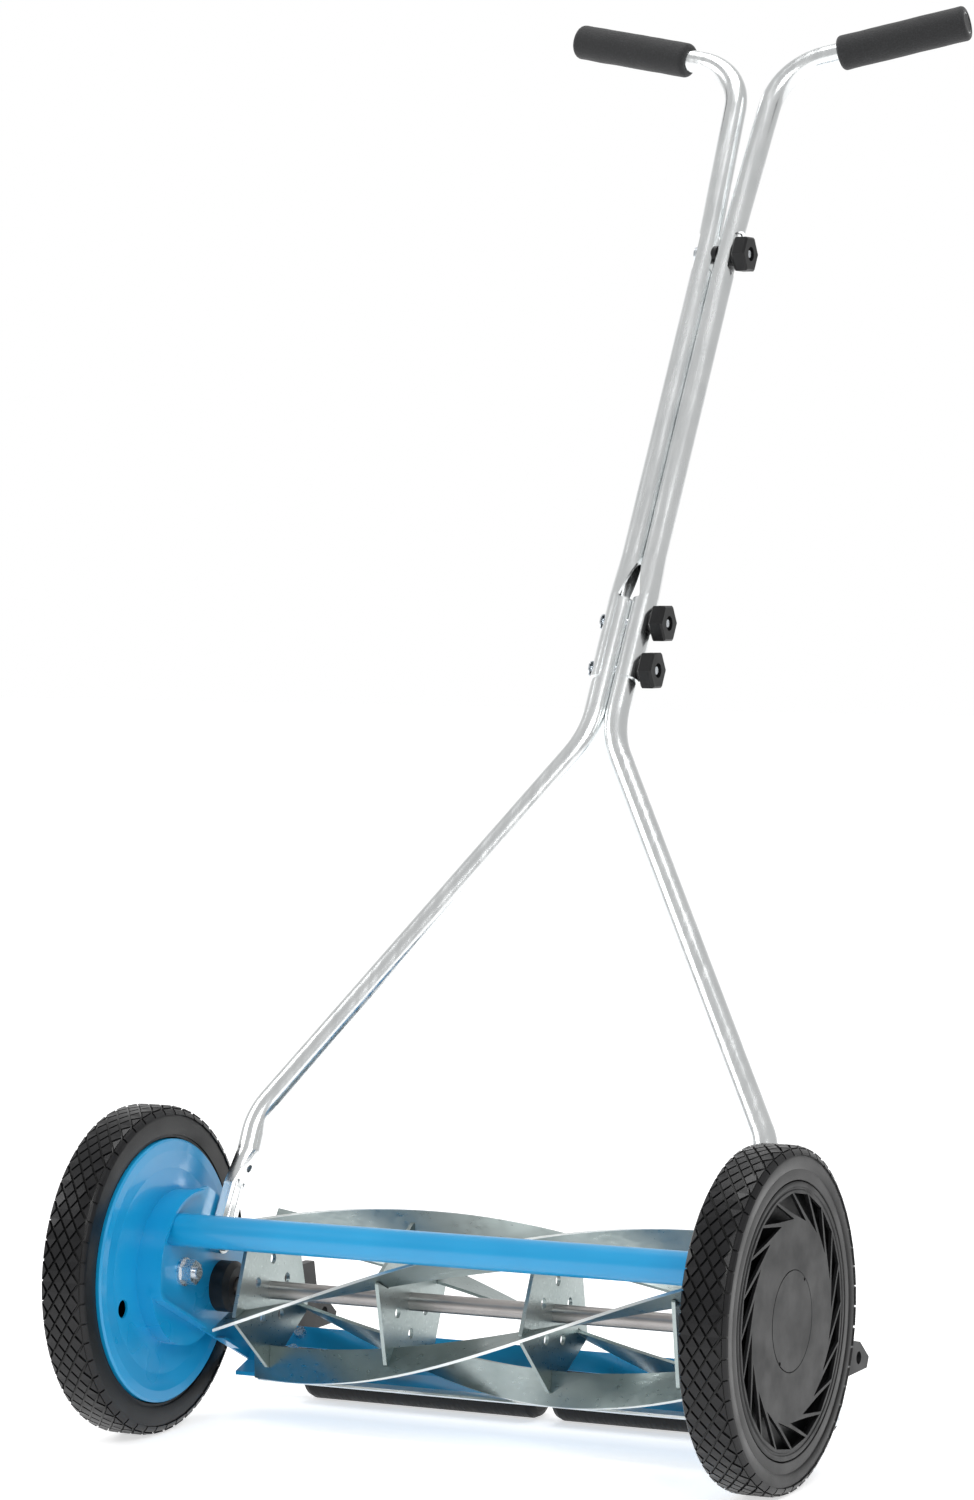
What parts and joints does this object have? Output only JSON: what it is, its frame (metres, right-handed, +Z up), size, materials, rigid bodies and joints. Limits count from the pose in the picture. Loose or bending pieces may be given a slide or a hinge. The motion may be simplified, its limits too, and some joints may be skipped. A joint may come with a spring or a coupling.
{
  "type": "reel mower",
  "caption": "Walk-behind reel lawn mower: two drive wheels geared to a helical-blade reel over a bed knife, rear rollers and a tall folding T-bar handle.",
  "frame": {"origin": "on the floor, midway between the two wheels, straight under the wheel axle", "axes": "+X along the wheel axle to the mower's right-hand wheel as seen from the front, +Y back towards the person mowing, +Z up"},
  "size_m": [0.56, 0.7595, 1.1351],
  "materials": {
    "tyre_rubber": "matt moulded rubber with a diamond tread",
    "black_plastic": "fine-grained black moulding",
    "nylon": "natural nylon",
    "blue_paint": "gloss blue enamel on pressed steel",
    "blade_steel": "hardened strip steel",
    "shaft_steel": "turned steel",
    "handle_tube": "bright zinc-plated tube",
    "foam": "black closed-cell foam",
    "zinc_plate": "zinc-plated fasteners"
  },
  "bodies": {
    "frame": {"adjusting_screws": "zinc_plate", "axle_nuts": "zinc_plate", "axle_stud_left": "zinc_plate", "axle_stud_right": "zinc_plate", "axle_washers": "zinc_plate", "bearing_balls": "shaft_steel", "bearing_cup_left": "shaft_steel", "bearing_cup_right": "shaft_steel", "bed_knife": "blade_steel", "crossbar": "blue_paint", "cutter_bar": "blue_paint", "frame_bolts": "zinc_plate", "handle_studs": "zinc_plate", "push_nuts": "zinc_plate", "reel_bracket_left": "blue_paint", "reel_bracket_right": "blue_paint", "roller_arm_left": "black_plastic", "roller_arm_right": "black_plastic", "roller_rod": "zinc_plate", "side_plate_left": "blue_paint", "side_plate_right": "blue_paint"},
    "wheel_left": {"tyre_left": "tyre_rubber", "drive_wheel_left": "black_plastic", "hubcap_left": "black_plastic", "centre_cap_left": "black_plastic", "wheel_bushing_left": "nylon"},
    "wheel_right": {"tyre_right": "tyre_rubber", "drive_wheel_right": "black_plastic", "hubcap_right": "black_plastic", "centre_cap_right": "black_plastic", "wheel_bushing_right": "nylon"},
    "reel": {"bearing_cones": "shaft_steel", "blade_1": "blade_steel", "blade_2": "blade_steel", "blade_3": "blade_steel", "blade_4": "blade_steel", "blade_5": "blade_steel", "drive_pawls": "shaft_steel", "reel_shaft": "shaft_steel", "spider_1": "blade_steel", "spider_2": "blade_steel", "spider_3": "blade_steel", "spider_4": "blade_steel"},
    "pinion_left_body": {"pinion_left": "shaft_steel"},
    "pinion_right_body": {"pinion_right": "shaft_steel"},
    "roller_left_body": {"roller_left": "black_plastic"},
    "roller_right_body": {"roller_right": "black_plastic"},
    "handle": {"end_plugs": "black_plastic", "grip_left": "foam", "grip_right": "foam", "handle_bolts": "zinc_plate", "handle_spacer": "black_plastic", "lower_handle_left": "handle_tube", "lower_handle_right": "handle_tube", "upper_handle_left": "handle_tube", "upper_handle_right": "handle_tube"},
    "knob_top_body": {"knob_top": "black_plastic"},
    "knob_middle_body": {"knob_middle": "black_plastic"},
    "knob_bottom_body": {"knob_bottom": "black_plastic"}
  },
  "joints": [
    {"name": "wheel_left_spin", "type": "hinge", "parent": "frame", "child": "wheel_left", "pos_m": [-0.26, 0, 0.127], "axis": [1, 0, 0], "continuous": true},
    {"name": "wheel_right_spin", "type": "hinge", "parent": "frame", "child": "wheel_right", "pos_m": [0.26, 0, 0.127], "axis": [1, 0, 0], "continuous": true},
    {"name": "reel_spin", "type": "hinge", "parent": "frame", "child": "reel", "pos_m": [0, 0.05879, 0.1073], "axis": [1, 0, 0], "continuous": true},
    {"name": "pinion_left_spin", "type": "hinge", "parent": "frame", "child": "pinion_left_body", "pos_m": [-0.255, 0.05879, 0.1073], "axis": [1, 0, 0], "continuous": true},
    {"name": "pinion_right_spin", "type": "hinge", "parent": "frame", "child": "pinion_right_body", "pos_m": [0.255, 0.05879, 0.1073], "axis": [1, 0, 0], "continuous": true},
    {"name": "roller_left_spin", "type": "hinge", "parent": "frame", "child": "roller_left_body", "pos_m": [-0.11, 0.182, 0.025], "axis": [1, 0, 0], "continuous": true},
    {"name": "roller_right_spin", "type": "hinge", "parent": "frame", "child": "roller_right_body", "pos_m": [0.11, 0.182, 0.025], "axis": [1, 0, 0], "continuous": true},
    {"name": "handle_pivot", "type": "hinge", "parent": "frame", "child": "handle", "pos_m": [0, 0.0471, 0.146], "axis": [1, 0, 0], "range_deg": [-56, 30]},
    {"name": "knob_top_turn", "type": "hinge", "parent": "handle", "child": "knob_top_body", "pos_m": [0.026, 0.50337, 0.92525], "axis": [1, 0, 0], "continuous": true},
    {"name": "knob_middle_turn", "type": "hinge", "parent": "handle", "child": "knob_middle_body", "pos_m": [0.028, 0.32551, 0.62149], "axis": [1, 0, 0], "continuous": true},
    {"name": "knob_bottom_turn", "type": "hinge", "parent": "handle", "child": "knob_bottom_body", "pos_m": [0.028, 0.30378, 0.58438], "axis": [1, 0, 0], "continuous": true}
  ],
  "couplings": [
    {"joint": "reel_spin", "follows": "wheel_left_spin", "ratio": 5.4286},
    {"joint": "pinion_left_spin", "follows": "wheel_left_spin", "ratio": 5.4286},
    {"joint": "pinion_right_spin", "follows": "wheel_right_spin", "ratio": 5.4286}
  ]
}
